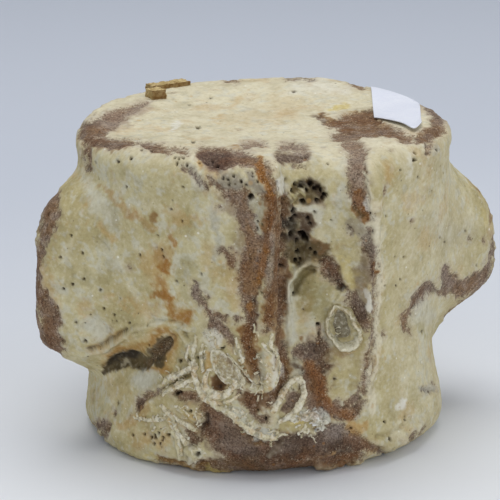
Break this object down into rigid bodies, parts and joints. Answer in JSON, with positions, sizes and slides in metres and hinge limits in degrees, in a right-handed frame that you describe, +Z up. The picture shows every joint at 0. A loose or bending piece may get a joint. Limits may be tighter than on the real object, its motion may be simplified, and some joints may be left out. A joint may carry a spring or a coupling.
{
  "type": "fossil whale vertebra",
  "caption": "Fossil whale vertebra standing on an end face, with worn processes, sea growths and a blank paper label, for display.",
  "frame": {"origin": "on the floor, below the middle of the whole object's box, at the flat ring that the lower end face stands on", "axes": "+X from the left to the right transverse process as the camera sees them, +Z up along the centrum, -Y towards the worn neural arch"},
  "size_m": [0.1236, 0.0949, 0.0821],
  "materials": {
    "crusted_bone": "matt, rough mineral crust over brown bone",
    "shell_growth": "matt chalky shell",
    "chip": "matt, granular",
    "label_paper": "smooth matt paper"
  },
  "bodies": {
    "root": {"centrum": "crusted_bone", "lower_end_plate": "crusted_bone", "upper_end_plate": "crusted_bone", "transverse_process_left": "crusted_bone", "transverse_process_right": "crusted_bone", "neural_arch_left": "crusted_bone", "neural_arch_right": "crusted_bone", "ventral_keel": "crusted_bone", "worm_tube_hairpin": "shell_growth", "worm_tube_creeping": "shell_growth", "worm_tube_coil": "shell_growth", "barnacle_wall": "shell_growth", "shell_valve": "shell_growth", "loose_chip": "chip", "paper_label": "label_paper"}
  },
  "joints": []
}
